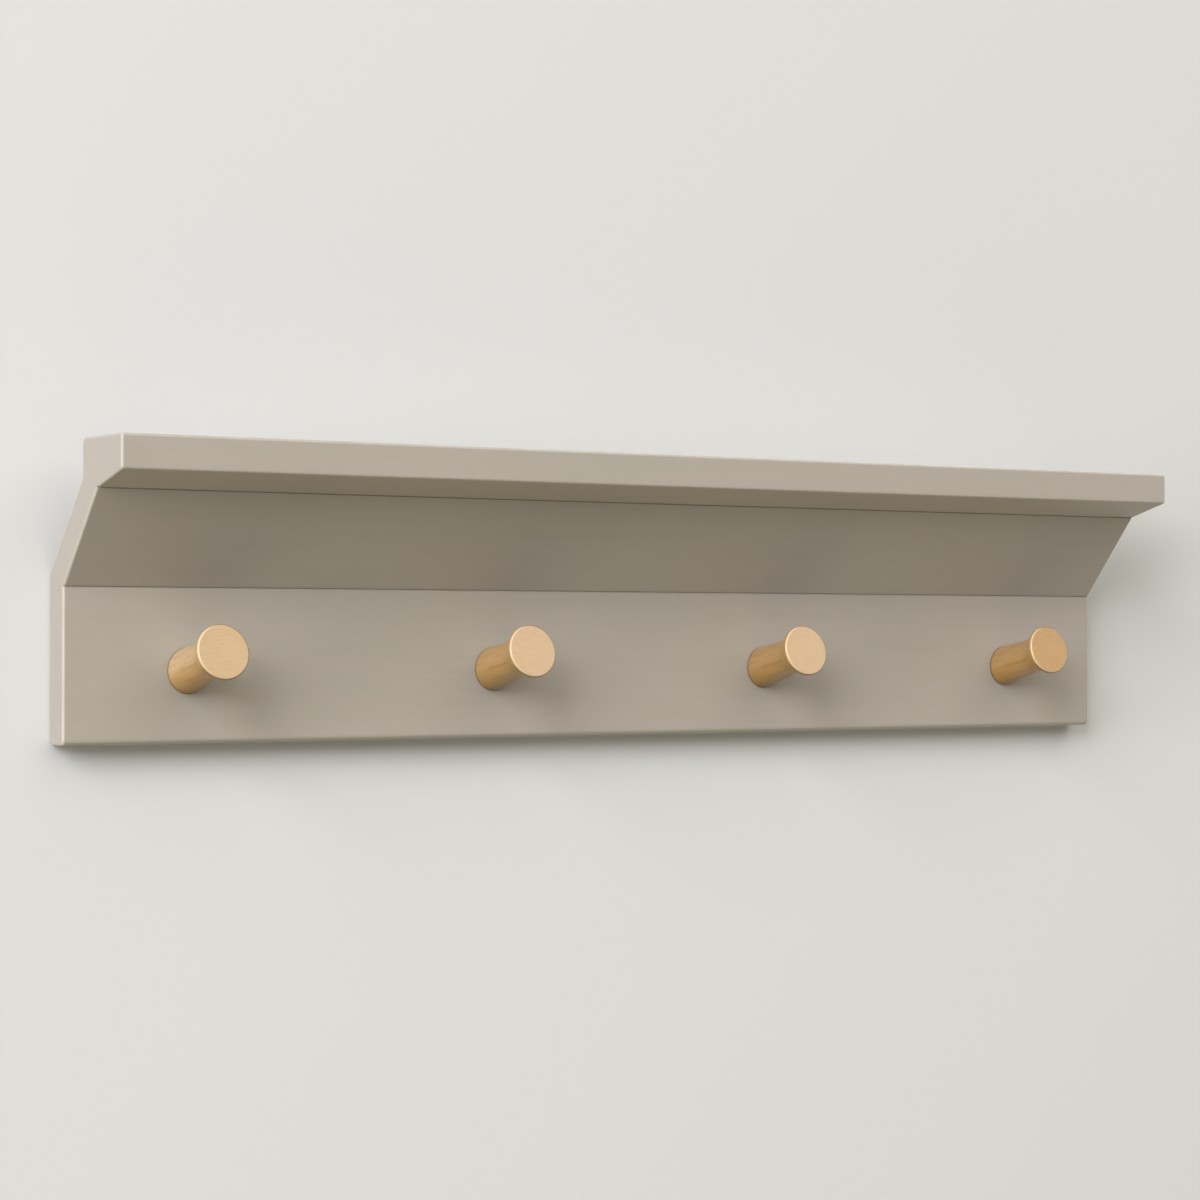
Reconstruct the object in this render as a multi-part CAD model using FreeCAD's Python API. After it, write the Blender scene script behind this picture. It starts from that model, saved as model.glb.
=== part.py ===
import FreeCAD, Part
import math
import os

# A wall coat rack with a shelf. Three painted boards are mitred and dowelled into one cranked
# section, four turned pegs lean up out of the lowest board, and two keyhole plates let into
# its back hang the rack on a wall. Nothing on it moves.
# Lengths are millimetres and angles are degrees. X runs along the rack, the wall is the plane
# Y = 0, the front faces -Y and Z is up. The origin is the middle of the backboard's back face.

# The three boards, in section: reach is out from the wall, height is up from the bottom edge.
RACK_LENGTH = 750.0
BOARD_THICKNESS = 18.0
BACKBOARD_FRONT_HEIGHT = 87.0
SLOPING_FRONT_WIDTH = 68.3
SLOPE_ANGLE = 50.0
SHELF_SEAT_ANGLE = 17.0
SHELF_REACH = 93.0
SHELF_JOINT_THICKNESS = 27.5
SHELF_EDGE_THICKNESS = 19.0
BOTTOM_EDGE_RADIUS = 3.0
SHELF_FRONT_RADIUS = 1.6
SHELF_BACK_RADIUS = 3.5
END_EDGE_RADIUS = 1.5
JOINT_GROOVE_RADIUS = 0.6

# Dowels across the two joints, one in line with each peg. An offset is measured from the middle
# of a joint toward its front.
DOWEL_DIAMETER = 6.0
DOWEL_LENGTH = 25.0
DOWEL_CHAMFER = 0.8
DOWEL_CLEARANCE = 0.05
DOWEL_END_GAP = 0.75
LOWER_DOWEL_OFFSET = 1.5
UPPER_DOWEL_OFFSET = -3.0

# Pegs. Their lengths run along the peg from the point where its axis leaves the backboard.
PEG_COUNT = 4
PEG_END_MARGIN = 75.0
PEG_HEIGHT = 40.6
PEG_TILT = 13.5
PEG_LENGTH = 46.0
PEG_FOOT_DIAMETER = 25.0
PEG_NECK_DIAMETER = 22.0
PEG_NECK_REACH = 25.0
PEG_HEAD_DIAMETER = 31.2
PEG_RIM_HEIGHT = 2.6
PEG_RIM_RADIUS = 1.0
PEG_RIM_BACK_RADIUS = 0.8
PEG_FOOT_CHAMFER = 0.4
SPIGOT_DIAMETER = 12.0
SPIGOT_LENGTH = 9.0
SPIGOT_CHAMFER = 0.8
SPIGOT_CLEARANCE = 0.1
SOCKET_END_GAP = 0.6

# Screws that pull the pegs into their sockets from the back.
PEG_SCREW_LENGTH = 40.0
PEG_SCREW_HEAD_DIAMETER = 8.0
PEG_SCREW_THREAD_DIAMETER = 4.0
PEG_SCREW_CORE_DIAMETER = 2.8
PEG_SCREW_SINK = 2.5

# Keyhole plates, upright and flush in the backboard's back, midway between the outer pegs.
PLATE_TOP_MARGIN = 9.0
PLATE_LENGTH = 45.0
PLATE_WIDTH = 18.0
PLATE_THICKNESS = 2.0
PLATE_CORNER_RADIUS = 4.0
PLATE_CLEARANCE = 0.2
PLATE_SINK = 0.2
KEYHOLE_ENTRY_DIAMETER = 10.0
KEYHOLE_ENTRY_DROP = 4.0
KEYHOLE_SLOT_WIDTH = 5.0
KEYHOLE_RISE = 11.0
HEAD_POCKET_WIDTH = 12.0
HEAD_POCKET_DEPTH = 6.0
PLATE_SCREW_SPACING = 34.0
PLATE_SCREW_LENGTH = 12.0
PLATE_SCREW_HEAD_DIAMETER = 6.0
PLATE_SCREW_THREAD_DIAMETER = 3.0
PLATE_SCREW_CORE_DIAMETER = 2.1

# All the screws: their heads, their holes and the driver's cross.
SCREW_HEAD_RIM = 0.4
SCREW_CLEARANCE = 0.1
SCREW_END_GAP = 1.0
CROSS_LENGTH_SHARE = 0.56
CROSS_WIDTH_SHARE = 0.13
CROSS_DEPTH_SHARE = 0.2

# How far a cutting shape runs past what it cuts, and how near counts as touching.
CUT_OVERRUN = 1.0
TOUCH_DISTANCE = 0.01


def plus(point, direction, distance):
    """The 2-D point that lies a distance from another along a unit direction."""
    return (point[0] + direction[0] * distance, point[1] + direction[1] * distance)


def unit(start, end):
    """The 2-D unit direction from one point to another."""
    span = math.hypot(end[0] - start[0], end[1] - start[1])
    return ((end[0] - start[0]) / span, (end[1] - start[1]) / span)


def heading(angle):
    """The 2-D unit direction at an angle above the outward level line."""
    return (math.cos(math.radians(angle)), math.sin(math.radians(angle)))


# Section points, worked out from the driving dimensions.
mitre_rise = BOARD_THICKNESS * math.tan(math.radians((90 - SLOPE_ANGLE) / 2))
seat_width = BOARD_THICKNESS / math.sin(math.radians(SLOPE_ANGLE + SHELF_SEAT_ANGLE))
bottom_back = (0, 0)
bottom_front = (BOARD_THICKNESS, 0)
crease_front = (BOARD_THICKNESS, BACKBOARD_FRONT_HEIGHT)
crease_back = (0, BACKBOARD_FRONT_HEIGHT + mitre_rise)
seat_front = plus(crease_front, heading(SLOPE_ANGLE), SLOPING_FRONT_WIDTH)
seat_back = plus(seat_front, heading(180 - SHELF_SEAT_ANGLE), seat_width)
shelf_top = seat_front[1] + SHELF_JOINT_THICKNESS
shelf_bottom_front = (SHELF_REACH, shelf_top - SHELF_EDGE_THICKNESS)
shelf_top_front = (SHELF_REACH, shelf_top)
shelf_top_back = (seat_back[0], shelf_top)
origin_height = crease_back[1] / 2

# Places along the rack: the pegs are evenly spaced, and all else follows them.
peg_spacing = (RACK_LENGTH - 2 * PEG_END_MARGIN) / (PEG_COUNT - 1)
peg_places = [-RACK_LENGTH / 2 + PEG_END_MARGIN + i * peg_spacing for i in range(PEG_COUNT)]
plate_places = (peg_places[0] + peg_spacing / 2, peg_places[-1] - peg_spacing / 2)


def section_point(x, point):
    """A 2-D section point (reach, height) as a place in the rack's frame."""
    return FreeCAD.Vector(x, -point[0], point[1] - origin_height)


def section_direction(direction):
    return FreeCAD.Vector(0, -direction[0], direction[1])


def rounded_outline(corners, place):
    """A closed wire through (a, b, radius) corners, with an arc at each corner that has a radius."""
    starts = []
    edges = []
    for index, (a, b, radius) in enumerate(corners):
        before = unit((a, b), corners[index - 1][:2])
        after = unit((a, b), corners[(index + 1) % len(corners)][:2])
        if radius == 0:
            starts.append(((a, b), (a, b)))
            continue
        half_turn = math.acos(before[0] * after[0] + before[1] * after[1]) / 2
        middle = unit((0, 0), (before[0] + after[0], before[1] + after[1]))
        reach = radius / math.tan(half_turn)
        nearest = radius / math.sin(half_turn) - radius
        first = plus((a, b), before, reach)
        last = plus((a, b), after, reach)
        starts.append((first, last))
        arc = Part.Arc(place(first), place(plus((a, b), middle, nearest)), place(last))
        edges.append(arc.toShape())
    for index, (first, last) in enumerate(starts):
        following = starts[(index + 1) % len(starts)][0]
        edges.append(Part.LineSegment(place(last), place(following)).toShape())
    return Part.Wire(Part.__sortEdges__(edges))


# Boards

def lies_on_joint(edge, joints):
    """Whether an edge of a board's end lies in one of its glued joints."""
    middle = edge.CenterOfMass
    for first, last in joints:
        direction = unit(first, last)
        reach = -middle.y - first[0]
        height = middle.z + origin_height - first[1]
        if abs(reach * direction[1] - height * direction[0]) < TOUCH_DISTANCE:
            return True
    return False


def board(corners, joints):
    """A board of the rack's full length, its end arrises eased except where it is glued."""
    outline = rounded_outline(corners, lambda point: section_point(-RACK_LENGTH / 2, point))
    solid = Part.Face(outline).extrude(FreeCAD.Vector(RACK_LENGTH, 0, 0))
    arrises = []
    for edge in solid.Edges:
        at_end = all(abs(abs(v.X) - RACK_LENGTH / 2) < TOUCH_DISTANCE for v in edge.Vertexes)
        flat_on_end = edge.BoundBox.XLength < TOUCH_DISTANCE
        if at_end and flat_on_end and not lies_on_joint(edge, joints):
            arrises.append(edge)
    return solid.makeFillet(END_EDGE_RADIUS, arrises)


def joint_groove(point):
    """The fine shadow line where two eased boards meet in an inner corner."""
    start = section_point(-RACK_LENGTH / 2 - CUT_OVERRUN, point)
    length = RACK_LENGTH + 2 * CUT_OVERRUN
    return Part.makeCylinder(JOINT_GROOVE_RADIUS, length, start, FreeCAD.Vector(1, 0, 0))


# Dowels

def dowel_places(front, back, offset):
    """Where the dowels of a joint cross it, and the direction they point in."""
    toward_front = unit(back, front)
    middle = ((front[0] + back[0]) / 2, (front[1] + back[1]) / 2)
    centre = plus(middle, toward_front, offset)
    direction = section_direction((-toward_front[1], toward_front[0]))
    return [(section_point(x, centre), direction) for x in peg_places]


def dowel(centre, direction):
    base = centre - direction * (DOWEL_LENGTH / 2)
    pin = Part.makeCylinder(DOWEL_DIAMETER / 2, DOWEL_LENGTH, base, direction)
    rims = [edge for edge in pin.Edges if edge.Closed and len(edge.Vertexes) == 1]
    return pin.makeChamfer(DOWEL_CHAMFER, rims)


def dowel_hole(centre, direction):
    length = DOWEL_LENGTH + 2 * DOWEL_END_GAP
    base = centre - direction * (length / 2)
    return Part.makeCylinder(DOWEL_DIAMETER / 2 + DOWEL_CLEARANCE, length, base, direction)


# Screws. Each is drawn along +Z from the top of its head, and then put in place.

def head_height(head_diameter, core_diameter):
    return SCREW_HEAD_RIM + (head_diameter - core_diameter) / 2


def turned(points):
    """A solid of revolution about +Z through (radius, height) points."""
    wire = Part.makePolygon([FreeCAD.Vector(r, 0, h) for r, h in points + points[:1]])
    return Part.Face(wire).revolve(FreeCAD.Vector(0, 0, 0), FreeCAD.Vector(0, 0, 1), 360)


def wood_screw(length, head_diameter, core_diameter):
    """A countersunk screw with a cross in its head, its thread left at the core's size."""
    head = head_diameter / 2
    core = core_diameter / 2
    under_head = head_height(head_diameter, core_diameter)
    outline = [(0, 0), (head, 0), (head, SCREW_HEAD_RIM), (core, under_head)]
    outline += [(core, length - core_diameter), (0, length)]
    screw = turned(outline)
    cross_length = head_diameter * CROSS_LENGTH_SHARE
    cross_width = head_diameter * CROSS_WIDTH_SHARE
    cross_depth = head_diameter * CROSS_DEPTH_SHARE
    for size_x, size_y in ((cross_length, cross_width), (cross_width, cross_length)):
        corner = FreeCAD.Vector(-size_x / 2, -size_y / 2, -CUT_OVERRUN)
        screw = screw.cut(Part.makeBox(size_x, size_y, cross_depth + CUT_OVERRUN, corner))
    return screw


def countersink(head_diameter, thread_diameter, run_in, run_out):
    """The hole for a screw's head and thread: run_in is cut above the head, run_out below it."""
    head = head_diameter / 2 + SCREW_CLEARANCE
    thread = thread_diameter / 2 + SCREW_CLEARANCE
    cone_end = SCREW_HEAD_RIM + head - thread
    outline = [(0, -run_in), (head, -run_in), (head, SCREW_HEAD_RIM), (thread, cone_end)]
    outline += [(thread, run_out), (0, run_out)]
    return turned(outline)


def pilot(length, core_diameter):
    """The hole that a screw's core runs in, to just past its point."""
    return Part.makeCylinder(core_diameter / 2 + SCREW_CLEARANCE, length + SCREW_END_GAP)


# Pegs. Each is turned along +Z, and then leaned out of the backboard's front face.

peg_board_run = BOARD_THICKNESS / math.cos(math.radians(PEG_TILT))
peg_screw_start = PEG_SCREW_SINK - peg_board_run


def peg_placement(x):
    seat = section_point(x, (BOARD_THICKNESS, PEG_HEIGHT))
    return FreeCAD.Placement(seat, FreeCAD.Rotation(FreeCAD.Vector(1, 0, 0), 90 - PEG_TILT))


def placed(shape, placement):
    copy = shape.copy()
    copy.transformShape(placement.toMatrix())
    return copy


def arc_from(start, direction, end):
    """The arc in the XZ plane that leaves a point in a direction and ends at another point."""
    chord = math.hypot(end[0] - start[0], end[1] - start[1])
    toward_end = unit(start, end)
    turn = math.acos(direction[0] * toward_end[0] + direction[1] * toward_end[1])
    radius = chord / (2 * math.sin(turn))
    rise = radius * (1 - math.cos(turn))
    middle = ((start[0] + end[0]) / 2, (start[1] + end[1]) / 2)
    outer = plus(middle, (-toward_end[1], toward_end[0]), rise)
    points = [FreeCAD.Vector(r, 0, h) for r, h in (start, outer, end)]
    return Part.Arc(*points).toShape()


def peg_blank():
    """The turned peg before its foot is cut: a slow taper, a waist, and a flare to the head."""
    foot = PEG_FOOT_DIAMETER / 2
    neck = (PEG_NECK_DIAMETER / 2, PEG_NECK_REACH)
    head = PEG_HEAD_DIAMETER / 2
    taper = unit((foot, 0), neck)
    foot_run = PEG_FOOT_DIAMETER * math.tan(math.radians(PEG_TILT))
    foot_start = plus((foot, 0), taper, -foot_run)
    rim_back = (head, PEG_LENGTH - PEG_RIM_HEIGHT)
    outline = [(0, PEG_LENGTH), (0, foot_start[1]), foot_start, neck]
    points = [FreeCAD.Vector(r, 0, h) for r, h in outline]
    edges = [Part.LineSegment(a, b).toShape() for a, b in zip(points, points[1:])]
    edges.append(arc_from(neck, taper, rim_back))
    rim = [FreeCAD.Vector(r, 0, h) for r, h in (rim_back, (head, PEG_LENGTH), (0, PEG_LENGTH))]
    edges += [Part.LineSegment(a, b).toShape() for a, b in zip(rim, rim[1:])]
    blank = Part.Face(Part.Wire(edges)).revolve(
        FreeCAD.Vector(0, 0, 0), FreeCAD.Vector(0, 0, 1), 360)
    return round_rim(blank, head)


def round_rim(blank, head):
    """Rounds the rim of the head, more to the front than to the back."""
    for height, radius in ((PEG_LENGTH, PEG_RIM_RADIUS),
                           (PEG_LENGTH - PEG_RIM_HEIGHT, PEG_RIM_BACK_RADIUS)):
        rims = []
        for edge in blank.Edges:
            level = abs(edge.BoundBox.ZMin - height) < TOUCH_DISTANCE and \
                abs(edge.BoundBox.ZMax - height) < TOUCH_DISTANCE
            wide = abs(edge.BoundBox.XMax - head) < TOUCH_DISTANCE
            if level and wide:
                rims.append(edge)
        blank = blank.makeFillet(radius, rims)
    return blank


def spigot(radius, length):
    """A round tenon, or the socket for one, from inside the peg back into the board."""
    return Part.makeCylinder(radius, length + PEG_FOOT_DIAMETER / 2, FreeCAD.Vector(0, 0, -length))


def peg(x):
    """A peg with its foot cut to the board's face and eased, its spigot, and the pilot hole."""
    placement = peg_placement(x)
    corner = FreeCAD.Vector(x - PEG_LENGTH, -BOARD_THICKNESS - 2 * PEG_LENGTH, -2 * PEG_LENGTH)
    room_in_front = Part.makeBox(2 * PEG_LENGTH, 2 * PEG_LENGTH, 4 * PEG_LENGTH, corner)
    shaft = placed(peg_blank(), placement).common(room_in_front)
    foot = [edge for edge in shaft.Edges if edge.BoundBox.YMin > -BOARD_THICKNESS - TOUCH_DISTANCE]
    shaft = shaft.makeChamfer(PEG_FOOT_CHAMFER, foot)
    tenon = spigot(SPIGOT_DIAMETER / 2, SPIGOT_LENGTH)
    ends = [e for e in tenon.Edges if e.BoundBox.ZMax < TOUCH_DISTANCE - SPIGOT_LENGTH]
    tenon = placed(tenon.makeChamfer(SPIGOT_CHAMFER, ends), placement)
    hole = pilot(PEG_SCREW_LENGTH, PEG_SCREW_CORE_DIAMETER)
    hole.translate(FreeCAD.Vector(0, 0, peg_screw_start))
    return shaft.fuse(tenon).removeSplitter().cut(placed(hole, placement))


def peg_screw(x):
    screw = wood_screw(PEG_SCREW_LENGTH, PEG_SCREW_HEAD_DIAMETER, PEG_SCREW_CORE_DIAMETER)
    screw.translate(FreeCAD.Vector(0, 0, peg_screw_start))
    return placed(screw, peg_placement(x))


def peg_socket(x):
    """What the backboard loses for one peg: the spigot's socket and the screw's hole."""
    socket = spigot(SPIGOT_DIAMETER / 2 + SPIGOT_CLEARANCE, SPIGOT_LENGTH + SOCKET_END_GAP)
    run_in = PEG_SCREW_SINK + PEG_SCREW_HEAD_DIAMETER
    run_out = peg_board_run - PEG_SCREW_SINK - SPIGOT_LENGTH
    hole = countersink(PEG_SCREW_HEAD_DIAMETER, PEG_SCREW_THREAD_DIAMETER, run_in, run_out)
    hole.translate(FreeCAD.Vector(0, 0, peg_screw_start))
    return placed(socket.fuse(hole), peg_placement(x))


# Keyhole plates. Each is drawn about its own middle, with X along the rack and Z up.

plate_height = crease_back[1] - PLATE_TOP_MARGIN - PLATE_LENGTH / 2
entry_height = -KEYHOLE_ENTRY_DROP
slot_height = KEYHOLE_RISE - KEYHOLE_ENTRY_DROP


def plate_middle(x):
    """The middle of a plate's outer face, a little below the backboard's back face."""
    return section_point(x, (PLATE_SINK, plate_height))


def upright_slab(half_width, half_height, radius, depth):
    """A plate shape with round corners that runs inwards from the wall side."""
    corners = [(-half_width, -half_height, radius), (half_width, -half_height, radius),
               (half_width, half_height, radius), (-half_width, half_height, radius)]
    outline = rounded_outline(corners, lambda point: FreeCAD.Vector(point[0], 0, point[1]))
    return Part.Face(outline).extrude(FreeCAD.Vector(0, -depth, 0))


def upright_hole(radius, height, start, depth):
    """A round hole into the board, from a start that is measured from the plate's outer face."""
    base = FreeCAD.Vector(0, -start, height)
    return Part.makeCylinder(radius, depth, base, FreeCAD.Vector(0, -1, 0))


def upright_slot(radius, start, depth):
    """A slot with round ends, from the keyhole's entry up to where a screw hangs."""
    corner = FreeCAD.Vector(-radius, -start - depth, entry_height)
    slot = Part.makeBox(2 * radius, depth, KEYHOLE_RISE, corner)
    slot = slot.fuse(upright_hole(radius, entry_height, start, depth))
    return slot.fuse(upright_hole(radius, slot_height, start, depth)).removeSplitter()


def plate_screw_placement(x, side):
    place = plate_middle(x) + FreeCAD.Vector(0, 0, side * PLATE_SCREW_SPACING / 2)
    return FreeCAD.Placement(place, FreeCAD.Rotation(FreeCAD.Vector(1, 0, 0), 90))


def keyhole_plate(x):
    plate = upright_slab(PLATE_WIDTH / 2, PLATE_LENGTH / 2, PLATE_CORNER_RADIUS, PLATE_THICKNESS)
    through = PLATE_THICKNESS + 2 * CUT_OVERRUN
    plate = plate.cut(upright_hole(KEYHOLE_ENTRY_DIAMETER / 2, entry_height, -CUT_OVERRUN, through))
    plate = plate.cut(upright_slot(KEYHOLE_SLOT_WIDTH / 2, -CUT_OVERRUN, through))
    plate.translate(plate_middle(x))
    for side in (-1, 1):
        hole = countersink(PLATE_SCREW_HEAD_DIAMETER, PLATE_SCREW_THREAD_DIAMETER, CUT_OVERRUN,
                           through)
        plate = plate.cut(placed(hole, plate_screw_placement(x, side)))
    return plate


def plate_recess(x):
    """What the backboard loses for one plate: its recess, the head's pocket and two pilots."""
    recess = upright_slab(PLATE_WIDTH / 2 + PLATE_CLEARANCE, PLATE_LENGTH / 2 + PLATE_CLEARANCE,
                          PLATE_CORNER_RADIUS + PLATE_CLEARANCE, PLATE_THICKNESS + CUT_OVERRUN)
    recess.translate(FreeCAD.Vector(0, CUT_OVERRUN, 0))
    pocket = upright_slot(HEAD_POCKET_WIDTH / 2, 0, PLATE_THICKNESS + HEAD_POCKET_DEPTH)
    shape = recess.fuse(pocket)
    shape.translate(plate_middle(x))
    under_head = head_height(PLATE_SCREW_HEAD_DIAMETER, PLATE_SCREW_CORE_DIAMETER)
    for side in (-1, 1):
        hole = pilot(PLATE_SCREW_LENGTH, PLATE_SCREW_CORE_DIAMETER)
        mouth = countersink(PLATE_SCREW_HEAD_DIAMETER, PLATE_SCREW_THREAD_DIAMETER, CUT_OVERRUN,
                            under_head)
        shape = shape.fuse(placed(hole.fuse(mouth), plate_screw_placement(x, side)))
    return shape


def plate_screws():
    screws = []
    for x in plate_places:
        for side in (-1, 1):
            screw = wood_screw(PLATE_SCREW_LENGTH, PLATE_SCREW_HEAD_DIAMETER,
                               PLATE_SCREW_CORE_DIAMETER)
            screws.append(placed(screw, plate_screw_placement(x, side)))
    return screws


# The finished boards, with their holes and grooves

lower_dowels = dowel_places(crease_front, crease_back, LOWER_DOWEL_OFFSET)
upper_dowels = dowel_places(seat_front, seat_back, UPPER_DOWEL_OFFSET)
lower_joint = (crease_front, crease_back)
upper_joint = (seat_front, seat_back)


def backboard():
    corners = [bottom_back + (BOTTOM_EDGE_RADIUS,), bottom_front + (BOTTOM_EDGE_RADIUS,),
               crease_front + (0,), crease_back + (0,)]
    solid = board(corners, [lower_joint])
    cuts = [joint_groove(crease_front)]
    cuts += [dowel_hole(*place) for place in lower_dowels]
    cuts += [peg_socket(x) for x in peg_places]
    cuts += [plate_recess(x) for x in plate_places]
    return solid.cut(cuts)


def sloping_board():
    corners = [crease_front + (0,), seat_front + (0,), seat_back + (0,), crease_back + (0,)]
    solid = board(corners, [lower_joint, upper_joint])
    cuts = [joint_groove(point) for point in (crease_front, seat_front, seat_back)]
    cuts += [dowel_hole(*place) for place in lower_dowels + upper_dowels]
    return solid.cut(cuts)


def shelf_board():
    corners = [seat_front + (0,), shelf_bottom_front + (SHELF_FRONT_RADIUS,),
               shelf_top_front + (SHELF_FRONT_RADIUS,), shelf_top_back + (SHELF_BACK_RADIUS,),
               seat_back + (0,)]
    solid = board(corners, [upper_joint])
    cuts = [joint_groove(point) for point in (seat_front, seat_back)]
    cuts += [dowel_hole(*place) for place in upper_dowels]
    return solid.cut(cuts)


def save(name, shape):
    shape.exportStep("parts/" + name + ".step")
    print(name, len(shape.Solids), "solids,", shape.isValid(), round(shape.Volume))


os.makedirs("parts", exist_ok=True)
save("backboard", backboard())
save("sloping_board", sloping_board())
save("shelf_board", shelf_board())
for number, place in enumerate(peg_places, start=1):
    save("peg_" + str(number), peg(place))
save("peg_screws", Part.makeCompound([peg_screw(x) for x in peg_places]))
save("lower_joint_dowels", Part.makeCompound([dowel(*place) for place in lower_dowels]))
save("upper_joint_dowels", Part.makeCompound([dowel(*place) for place in upper_dowels]))
save("keyhole_plate_left", keyhole_plate(plate_places[0]))
save("keyhole_plate_right", keyhole_plate(plate_places[1]))
save("plate_screws", Part.makeCompound(plate_screws()))
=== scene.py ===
import math

import bpy
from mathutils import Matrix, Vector


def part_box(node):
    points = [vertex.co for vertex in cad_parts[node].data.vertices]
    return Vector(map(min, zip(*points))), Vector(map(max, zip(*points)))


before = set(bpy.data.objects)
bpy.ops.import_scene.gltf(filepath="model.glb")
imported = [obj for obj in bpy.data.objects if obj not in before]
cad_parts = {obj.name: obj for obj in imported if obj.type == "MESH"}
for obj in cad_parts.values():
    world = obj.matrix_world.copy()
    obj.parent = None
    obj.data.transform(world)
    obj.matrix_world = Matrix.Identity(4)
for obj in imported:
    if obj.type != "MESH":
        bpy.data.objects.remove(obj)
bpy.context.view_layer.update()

# The finish of a wall coat rack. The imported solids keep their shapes, and each gets a material
# made of nodes that read the rack's own coordinates, in metres: X runs along the rack, the wall
# is the plane Y = 0, the front faces -Y and Z is up.

# Where the pegs leave the backboard, and their shape
PEG_COUNT = 4
PEG_HEIGHT = 0.0406
PEG_TILT = math.radians(13.5)
PEG_LENGTH = 0.046
PEG_HEAD_RADIUS = 0.0156

# Bands at the pegs' turned edges, which carry a painted highlight, painted shade and the foot's
# dark line: how far short of the edge a tone starts, and is full
RIM_HIGHLIGHT_BAND = (0.0010, 0.0005)
END_HIGHLIGHT_BAND = (0.0011, 0.0005)
OUTSIDE_SHADE_BAND = (0.0010, 0.0004)
FOOT_BAND = (0.0018, 0.0006)

# How deep the paint's rounded edges reach into the backboard, so that bare wood starts behind
PAINT_SKIN = 0.0007
END_EASING = 0.0015
BOTTOM_EASING = 0.0018

# Camera, fitted to the photograph
IMAGE_SENSOR = 36.0
CAMERA_LENS = 92.045
CAMERA_PLACE = (-1.05722, -1.57187, 0.01149)
CAMERA_YAW = math.radians(33.633)
CAMERA_PITCH = math.radians(0.729)

# How far a groove or corner reaches for the painted shade in it
OCCLUSION_SAMPLES = 8
PAINT_SHADE_REACH = 0.003
ZINC_SHADE_REACH = 0.002

WHITE = (1.0, 1.0, 1.0, 1.0)


def srgb(red, green, blue):
    """A colour given in 0 to 255 steps, as the linear colour that a node wants."""
    steps = [value / 255 for value in (red, green, blue)]
    linear = [s / 12.92 if s <= 0.04045 else ((s + 0.055) / 1.055) ** 2.4 for s in steps]
    return (*linear, 1.0)


class Network:
    """A node tree that is made one call at a time."""

    def __init__(self, owner, output):
        owner.use_nodes = True
        self.tree = owner.node_tree
        self.tree.nodes.clear()
        self.output = self.tree.nodes.new("ShaderNode" + output)

    def node(self, kind, inputs=None, **settings):
        """Makes a node, with its settings, and sets or links its inputs by name or number."""
        made = self.tree.nodes.new("ShaderNode" + kind)
        for name, value in settings.items():
            setattr(made, name, value)
        for name, value in (inputs or {}).items():
            if isinstance(value, bpy.types.NodeSocket):
                self.tree.links.new(value, made.inputs[name])
            else:
                made.inputs[name].default_value = value
        return made

    def finish(self, shader):
        self.tree.links.new(shader.outputs[0], self.output.inputs[0])

    def math(self, operation, first, second=0.0):
        return self.node("Math", {0: first, 1: second}, operation=operation).outputs[0]

    def product(self, *values):
        result = values[0]
        for value in values[1:]:
            result = self.math("MULTIPLY", result, value)
        return result

    def total(self, *values):
        result = values[0]
        for value in values[1:]:
            result = self.math("ADD", result, value)
        return result

    def blend(self, share, first, second, blend_type="MIX"):
        """A colour between two others."""
        inputs = {"Factor": share, 6: first, 7: second}
        return self.node("Mix", inputs, data_type="RGBA", blend_type=blend_type).outputs[2]

    def ramp(self, value, low, high):
        """0 below low, 1 above high, and a smooth run between them."""
        inputs = {"Value": value, "From Min": low, "From Max": high}
        return self.node("MapRange", inputs, interpolation_type="SMOOTHSTEP").outputs[0]

    def near(self, value, edge, band):
        """0 up to a band's start, short of an edge, and 1 from where the band is full."""
        return self.ramp(value, edge - band[0], edge - band[1])

    def level(self, value, start, end):
        """A 0 to 1 value, spread evenly from start to end."""
        inputs = {"Value": value, "To Min": start, "To Max": end}
        return self.node("MapRange", inputs).outputs[0]

    def split(self, vector):
        return self.node("SeparateXYZ", {0: vector}).outputs

    def along(self, vector, direction):
        """How far a vector points in a direction."""
        inputs = {0: vector, 1: direction}
        return self.node("VectorMath", inputs, operation="DOT_PRODUCT").outputs["Value"]


class Material(Network):
    """A material in the rack's own coordinates."""

    def __init__(self, name):
        self.material = bpy.data.materials.new(name)
        super().__init__(self.material, "OutputMaterial")
        coordinates = self.node("TexCoord").outputs
        self.places = coordinates["Object"]
        self.facing = coordinates["Normal"]

    def noise(self, vector, scale, detail=2.0, roughness=0.5):
        """Noise from 0 to 1 with its own number of cells per metre along each axis."""
        scaled = self.node("Mapping", {"Vector": vector, "Scale": scale}).outputs[0]
        inputs = {"Vector": scaled, "Scale": 1.0, "Detail": detail, "Roughness": roughness}
        return self.node("TexNoise", inputs).outputs[0]

    def cover(self, distance):
        """How open a place is within a distance: 1 on a flat face, less in a corner or groove."""
        occlusion = self.node("AmbientOcclusion", {"Distance": distance},
                              samples=OCCLUSION_SAMPLES)
        return occlusion.outputs["AO"]

    def bump(self, height, strength, distance):
        inputs = {"Height": height, "Strength": strength, "Distance": distance}
        return self.node("Bump", inputs).outputs[0]

    def surface(self, colour, roughness, normal, **constants):
        """The finished surface. Constants are set on the shader's own sockets."""
        inputs = {"Base Color": colour, "Roughness": roughness, "Normal": normal}
        inputs.update({name.replace("_", " "): value for name, value in constants.items()})
        self.finish(self.node("BsdfPrincipled", inputs))
        return self.material


# Painted wood

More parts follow.
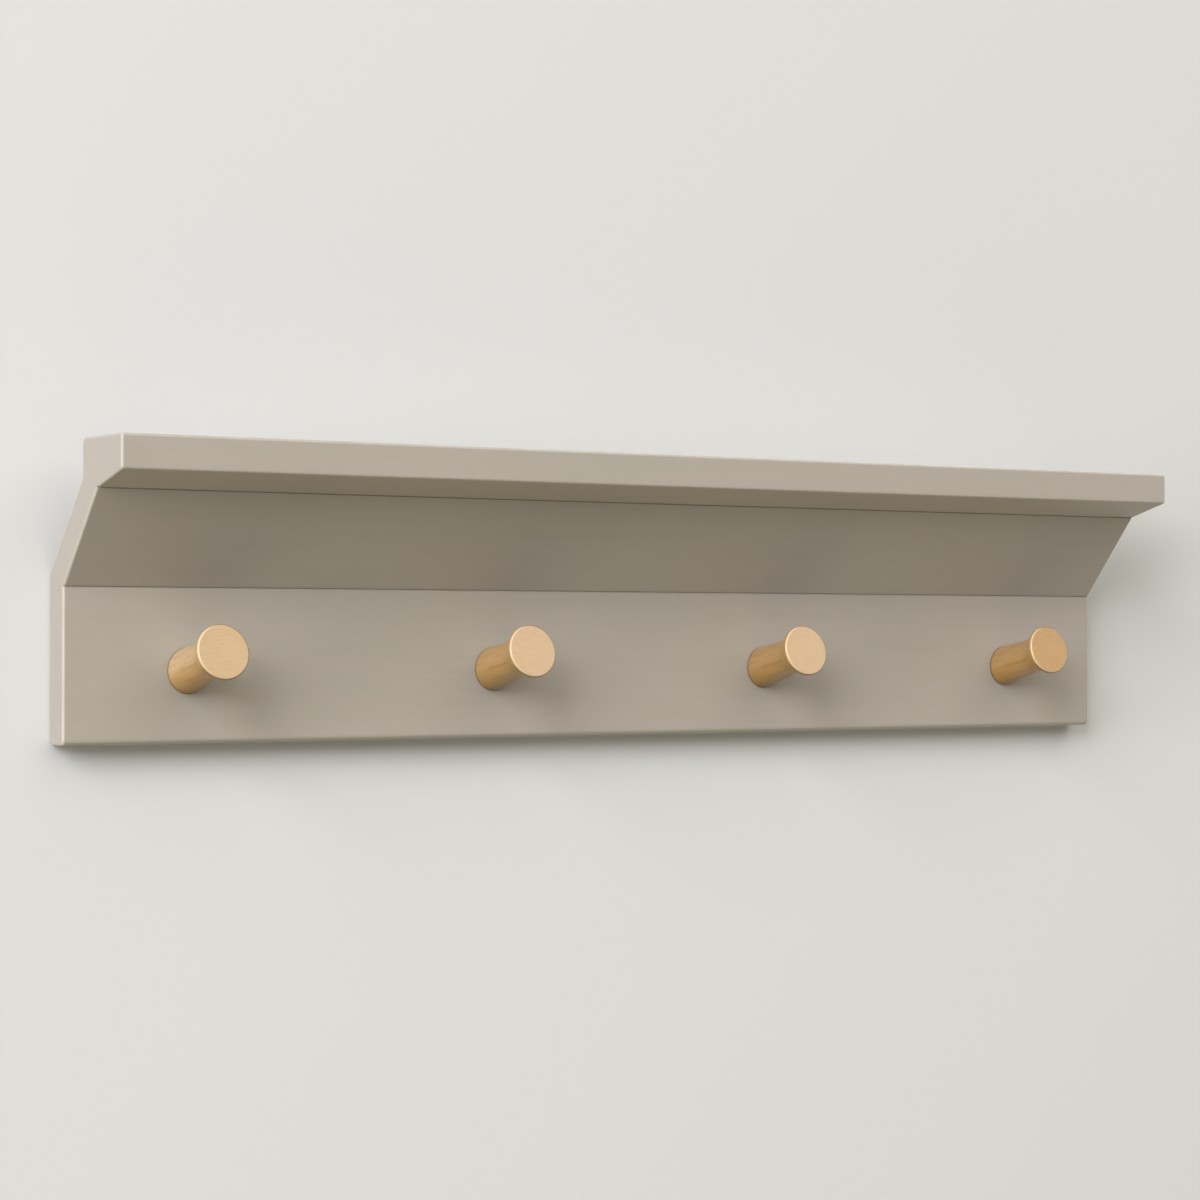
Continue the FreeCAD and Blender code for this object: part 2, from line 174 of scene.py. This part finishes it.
PAINT_DEEP = srgb(173, 167, 156)
PAINT_PALE = srgb(183, 175, 168)
# Lighter paint for the eased edges: partly wear, partly a painted highlight
PAINT_EDGE = srgb(212, 205, 196)
# Colour of the painted shade in creases and corners
PAINT_SHADE = srgb(104, 95, 80)
RAW_WOOD_DEEP = srgb(186, 152, 112)
RAW_WOOD_PALE = srgb(214, 186, 148)
SHELF_BEVEL = (0, 0.264, 0.965)
SLOPE = (0, 0.766, 0.643)
FACE_DIRECTIONS = ((1, 0, 0), (0, 1, 0), (0, 0, 1), SHELF_BEVEL, SLOPE)
RIGHT_ARRIS_HIGHLIGHT = (0.7, -0.7, 0)


def arrises(make):
    """1 on the eased edges, whose normals are oblique to every face of the boards."""
    square = 0.0
    for direction in FACE_DIRECTIONS:
        facing = make.math("ABSOLUTE", make.along(make.facing, direction))
        square = make.math("MAXIMUM", square, facing)
    return make.ramp(square, 0.995, 0.93)


def within(make, low, high):
    """1 for a place inside a box, 0 outside it."""
    result = 1.0
    for value, least, most in zip(make.split(make.places), low, high):
        above = make.math("GREATER_THAN", value, least)
        below = make.math("LESS_THAN", value, most)
        result = make.product(result, above, below)
    return result


def painted_wood(name, bare=None):
    """Satin paint brushed along the boards, with bare wood inside a box if one is given."""
    make = Material(name)
    cloud = make.noise(make.places, (5, 9, 9), 3)
    bands = make.noise(make.places, (7, 170, 170), 3)
    strokes = make.noise(make.places, (28, 560, 560), 3, 0.6)
    tone = make.total(make.product(cloud, 0.5), make.product(bands, 0.25),
                      make.product(strokes, 0.25))
    colour = make.blend(make.ramp(tone, 0.22, 0.78), PAINT_DEEP, PAINT_PALE)
    edge = arrises(make)
    # Lighter paint on the eased edges: partly random wear, partly a painted highlight
    wear_and_highlight = make.level(make.noise(make.places, (60, 60, 60), 3), 0.05, 0.55)
    # Painted highlight: the arrises that face right are lightened further
    right = make.ramp(make.along(make.facing, RIGHT_ARRIS_HIGHLIGHT), 0.8, 0.97)
    wear_and_highlight = make.math("MAXIMUM", wear_and_highlight, make.product(right, 0.85))
    colour = make.blend(make.product(edge, wear_and_highlight), colour, PAINT_EDGE)
    # Painted shade: the paint is darker in creases, grooves and round the pegs' feet, where the
    # rack occludes itself
    painted_shade = make.ramp(make.cover(PAINT_SHADE_REACH), 0.62, 0.15)
    colour = make.blend(make.product(painted_shade, 0.6), colour, PAINT_SHADE)
    peel = make.noise(make.places, (700, 900, 900), 2)
    height = make.total(make.product(strokes, 0.7), make.product(peel, 0.3))
    roughness = make.math("SUBTRACT", make.level(strokes, 0.42, 0.56), make.product(edge, 0.12))
    if bare is not None:
        mask = within(make, *bare)
        fibre = make.noise(make.places, (25, 600, 600), 4, 0.65)
        wood = make.blend(fibre, RAW_WOOD_DEEP, RAW_WOOD_PALE)
        colour = make.blend(mask, colour, wood)
        roughness = make.math("MAXIMUM", roughness, make.product(mask, 0.8))
    normal = make.bump(height, 0.35, 0.0002)
    return make.surface(colour, roughness, normal, Specular_IOR_Level=0.35)


# Lacquered beech, with the grain along each peg

BEECH_PALE = srgb(214, 185, 148)
BEECH_WARM = srgb(204, 171, 131)
BEECH_RING = srgb(174, 134, 92)
BEECH_RIM_HIGHLIGHT = srgb(232, 205, 168)
BEECH_SHADE_AND_GLUE = srgb(112, 76, 40)
RING_SPACING = 0.0021
RING_WANDER = 0.004
RIM_HIGHLIGHT_SIDE = (-0.93, -0.3, -0.1)
UPPER_RIM_SHADE = (0.8, 0, 0.6)
LOWER_RIM_SHADE = (0.35, 0, -0.94)


def length(make, first, second):
    """The length of a flat vector."""
    squares = make.total(make.product(first, first), make.product(second, second))
    return make.math("SQRT", squares)


def growth_rings(make, own, across, up, pith):
    """The rings' dark lines round a pith that lies off the peg's axis."""
    wander = make.product(make.noise(own, (110, 110, 14), 3), RING_WANDER)
    beside = make.math("SUBTRACT", across, pith[0])
    above = make.math("SUBTRACT", up, pith[1])
    radius = make.total(length(make, beside, above), wander)
    phase = make.math("FRACT", make.math("DIVIDE", radius, RING_SPACING))
    return make.product(make.ramp(phase, 0.35, 0.9), make.ramp(phase, 1.0, 0.93))


def lacquered_beech(name, place, pith, figure, depth, side_low_shade, side_high):
    """Beech turned along its grain, in a peg's own axes: across, up and out along the peg."""
    make = Material(name)
    seat = (place, FRONT, PEG_SEAT_Z)
    turn = (math.radians(90) - PEG_TILT, 0, 0)
    mapping = {"Vector": make.places, "Location": seat, "Rotation": turn}
    own = make.node("Mapping", mapping, vector_type="TEXTURE").outputs[0]
    across, up, out = make.split(own)
    fibre = make.noise(own, (420, 1300, 60), 4, 0.6)
    streak = make.ramp(make.noise(own, (130, 480, 45), 3, 0.6), 0.45, 0.75)
    colour = make.blend(make.noise(own, (60, 60, 20), 3), BEECH_WARM, BEECH_PALE)
    faint = make.level(make.ramp(make.noise(own, (90, 260, 30), 2), 0.25, 0.75), 0.0, figure)
    rings = make.product(growth_rings(make, own, across, up, pith), faint)
    colour = make.blend(rings, colour, BEECH_RING)
    axis = (0, -math.cos(PEG_TILT), math.sin(PEG_TILT))
    side = make.ramp(make.along(make.facing, axis), 0.9, 0.5)
    colour = make.blend(make.product(streak, make.level(side, 0.14, 0.6)), colour, BEECH_RING)
    colour = make.blend(make.product(fibre, 0.1), colour, BEECH_RING)
    colour = make.blend(1.0, colour, depth, "MULTIPLY")
    # The shaft's sides: darker than the disc, partly the side grain's own colour and partly
    # painted shade, and darker still towards the lower side by painted shade
    side_tone_and_shade = make.blend(make.ramp(up, -0.011, 0.002), side_low_shade, side_high)
    colour = make.blend(1.0, colour, make.blend(side, WHITE, side_tone_and_shade), "MULTIPLY")
    from_axis = length(make, across, up)
    # Painted highlight: a pale band on the left of each head's rounded rim
    rim = make.product(make.near(from_axis, PEG_HEAD_RADIUS, RIM_HIGHLIGHT_BAND),
                       make.near(out, PEG_LENGTH, END_HIGHLIGHT_BAND))
    painted_highlight = make.ramp(make.along(make.facing, RIM_HIGHLIGHT_SIDE), 0.0, 0.55)
    colour = make.blend(make.product(rim, painted_highlight, 0.6), colour, BEECH_RIM_HIGHLIGHT)
    # Painted shade: a dark line at the rim's outer edge, on its upper right and its underside
    outside = make.near(from_axis, PEG_HEAD_RADIUS, OUTSIDE_SHADE_BAND)
    upper = make.ramp(make.along(make.facing, UPPER_RIM_SHADE), 0.2, 0.7)
    lower = make.ramp(make.along(make.facing, LOWER_RIM_SHADE), 0.05, 0.45)
    rim_shade = make.product(outside, make.math("MAXIMUM", upper, lower), 0.75)
    colour = make.blend(rim_shade, colour, BEECH_SHADE_AND_GLUE)
    # Darker wood at the foot, where the peg meets the board: partly a glue line, partly painted
    # contact shade
    foot = make.near(make.split(make.places)[1], FRONT, FOOT_BAND)
    colour = make.blend(make.product(foot, 0.9), colour, BEECH_SHADE_AND_GLUE)
    roughness = make.level(make.noise(own, (200, 200, 60), 3), 0.34, 0.48)
    normal = make.bump(fibre, 0.15, 0.0001)
    return make.surface(colour, roughness, normal, Coat_Weight=0.3, Coat_Roughness=0.2)


def raw_beech(name):
    make = Material(name)
    fibre = make.noise(make.places, (500, 90, 90), 4, 0.65)
    colour = make.blend(fibre, RAW_WOOD_DEEP, RAW_WOOD_PALE)
    return make.surface(colour, make.level(fibre, 0.65, 0.85), make.bump(fibre, 0.3, 0.0002))


# Zinc plate

ZINC_DEEP = srgb(150, 154, 160)
ZINC_PALE = srgb(205, 208, 212)
ZINC_SHADE = srgb(96, 96, 92)


def zinc_plate(name):
    make = Material(name)
    rolled = make.noise(make.places, (2500, 2500, 120), 3)
    colour = make.blend(make.noise(make.places, (140, 140, 140), 3), ZINC_DEEP, ZINC_PALE)
    # Painted shade: the zinc is darker in its corners and hollows
    painted_shade = make.ramp(make.cover(ZINC_SHADE_REACH), 0.6, 0.1)
    colour = make.blend(make.product(painted_shade, 0.5), colour, ZINC_SHADE)
    roughness = make.level(rolled, 0.26, 0.46)
    return make.surface(colour, roughness, make.bump(rolled, 0.15, 0.00005), Metallic=1.0)


# Which piece has which finish

def dress(node, material):
    """Gives a CAD node one material."""
    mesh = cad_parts[node].data
    mesh.materials.clear()
    mesh.materials.append(material)


def middle(node):
    """Where a node's middle lies along the rack."""
    low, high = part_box(node)
    return (low[0] + high[0]) / 2


backboard_low, backboard_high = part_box("backboard")
FRONT = backboard_low[1]
PEG_SEAT_Z = backboard_low[2] + PEG_HEIGHT
joint_height = backboard_high[2] + PAINT_SKIN
bare_low = (backboard_low[0] + END_EASING, FRONT + PAINT_SKIN, backboard_low[2] + BOTTOM_EASING)
bare_high = (backboard_high[0] - END_EASING, backboard_high[1] - PAINT_SKIN, joint_height)
dress("backboard", painted_wood("paint_backboard", (bare_low, bare_high)))
paint = painted_wood("paint")
dress("sloping_board", paint)
dress("shelf_board", paint)

# Each peg has its rings' pith somewhere else, across and up, and its own figure and colour; its
# shaft's sides carry painted shade, darkest on the lower side.
PITHS = ((0.03, -0.16), (-0.05, -0.13), (0.015, -0.19), (-0.02, -0.145))
FIGURES = (0.16, 0.13, 0.13, 0.32)
DEPTHS = ((0.93, 0.92, 0.87, 1.0), (0.98, 0.97, 0.99, 1.0), (0.99, 1.0, 1.0, 1.0),
          (0.84, 0.74, 0.54, 1.0))
# Upper sides of the shafts: the side grain's colour, partly darkened by painted shade
SIDES_HIGH = ((0.86, 0.86, 0.86, 1.0), (0.67, 0.6, 0.41, 1.0), (0.6, 0.52, 0.36, 1.0),
              (0.725, 0.72, 0.67, 1.0))
# Lower sides of the shafts: darker and warmer by painted shade
SIDES_LOW_SHADE = ((0.69, 0.575, 0.32, 1.0), (0.56, 0.485, 0.235, 1.0), (0.53, 0.43, 0.2, 1.0),
             (0.68, 0.6, 0.355, 1.0))
for number in range(PEG_COUNT):
    node = f"peg_{number + 1}"
    dress(node, lacquered_beech("beech_" + node, middle(node), PITHS[number], FIGURES[number],
                                DEPTHS[number], SIDES_LOW_SHADE[number], SIDES_HIGH[number]))

beech = raw_beech("raw_beech")
zinc = zinc_plate("zinc")
for node in ("lower_joint_dowels", "upper_joint_dowels"):
    dress(node, beech)
for node in ("peg_screws", "keyhole_plate_left", "keyhole_plate_right", "plate_screws"):
    dress(node, zinc)


# Stage: a pale wall behind the rack and a pale floor below it, each seen from one side only,
# that run out into the background's own colour far from the rack

WALL_COLOUR = srgb(227, 228, 230)
FLOOR_COLOUR = srgb(225, 226, 228)
WALL_GAP = 0.0004
FLOOR_HEIGHT = -1.5
REACH = 12.0
FADE_START = 2.5
FADE_END = 8.0
BACKGROUND = srgb(232, 231, 228)


def stage_plane(name, corners, colour):
    mesh = bpy.data.meshes.new(name)
    mesh.from_pydata(corners, [], [(0, 1, 2, 3)])
    plane = bpy.data.objects.new(name, mesh)
    bpy.context.scene.collection.objects.link(plane)
    make = Material(name)
    matt = make.node("BsdfDiffuse", {"Color": colour})
    pale = make.node("Emission", {"Color": BACKGROUND})
    away = make.node("VectorMath", {0: make.places}, operation="LENGTH").outputs["Value"]
    far = make.ramp(away, FADE_START, FADE_END)
    front = make.node("MixShader", {0: far, 1: matt.outputs[0], 2: pale.outputs[0]})
    clear = make.node("BsdfTransparent")
    behind = make.node("NewGeometry").outputs["Backfacing"]
    make.finish(make.node("MixShader", {0: behind, 1: front.outputs[0], 2: clear.outputs[0]}))
    mesh.materials.append(make.material)
    plane.visible_shadow = False
    plane.visible_diffuse = False
    plane.visible_glossy = False


stage_plane("wall", [(-REACH, WALL_GAP, FLOOR_HEIGHT), (REACH, WALL_GAP, FLOOR_HEIGHT),
                     (REACH, WALL_GAP, REACH), (-REACH, WALL_GAP, REACH)], WALL_COLOUR)
stage_plane("floor", [(-REACH, -REACH, FLOOR_HEIGHT), (REACH, -REACH, FLOOR_HEIGHT),
                      (REACH, REACH, FLOOR_HEIGHT), (-REACH, REACH, FLOOR_HEIGHT)], FLOOR_COLOUR)


# Light

def softbox(name, place, size, watts, tint=(1.0, 1.0, 1.0)):
    """A square lamp that points at the rack."""
    lamp = bpy.data.lights.new(name, "AREA")
    lamp.size = size
    lamp.energy = watts
    lamp.color = tint
    box = bpy.data.objects.new(name, lamp)
    box.location = place
    box.rotation_euler = (-Vector(place)).to_track_quat("-Z", "Y").to_euler()
    box.visible_camera = False
    bpy.context.scene.collection.objects.link(box)


softbox("key", (-7.1, -4.9, 4.1), 5.2, 725)
softbox("left_fill", (-11.2, -2.2, 0.7), 5.0, 670)
softbox("top_fill", (2.2, -9.0, 8.0), 14.0, 970, (1.0, 0.95, 0.84))
softbox("back_fill", (3.5, 3.0, 1.2), 2.5, 120)

LIGHT_ROUND = (0.1, 0.095, 0.08, 1.0)
LIGHT_BELOW = (1.46, 1.33, 0.88, 1.0)


def studio():
    """Faint light from all round and warmer light from below on the left, with a pale background
    that only the camera and mirrored rays see."""
    world = bpy.data.worlds.new("studio")
    bpy.context.scene.world = world
    make = Network(world, "OutputWorld")
    way = make.split(make.node("TexCoord").outputs["Generated"])
    below = make.product(make.ramp(way["Z"], -0.55, -1.0), make.ramp(way["X"], 0.9, -0.9))
    light = make.node("Background", {"Color": make.blend(below, LIGHT_ROUND, LIGHT_BELOW)})
    seen = make.node("Background", {"Color": BACKGROUND})
    rays = make.node("LightPath").outputs
    shown = make.math("MAXIMUM", rays["Is Camera Ray"], rays["Is Glossy Ray"])
    shown = make.math("MAXIMUM", shown, rays["Is Transmission Ray"])
    make.finish(make.node("MixShader", {0: shown, 1: light.outputs[0], 2: seen.outputs[0]}))


studio()


# Camera

lens = bpy.data.cameras.new("camera")
lens.lens = CAMERA_LENS
lens.sensor_width = IMAGE_SENSOR
camera = bpy.data.objects.new("camera", lens)
camera.location = CAMERA_PLACE
camera.rotation_euler = (math.radians(90) + CAMERA_PITCH, 0, -CAMERA_YAW)
bpy.context.scene.collection.objects.link(camera)
bpy.context.scene.camera = camera
bpy.context.scene.view_settings.view_transform = "Standard"
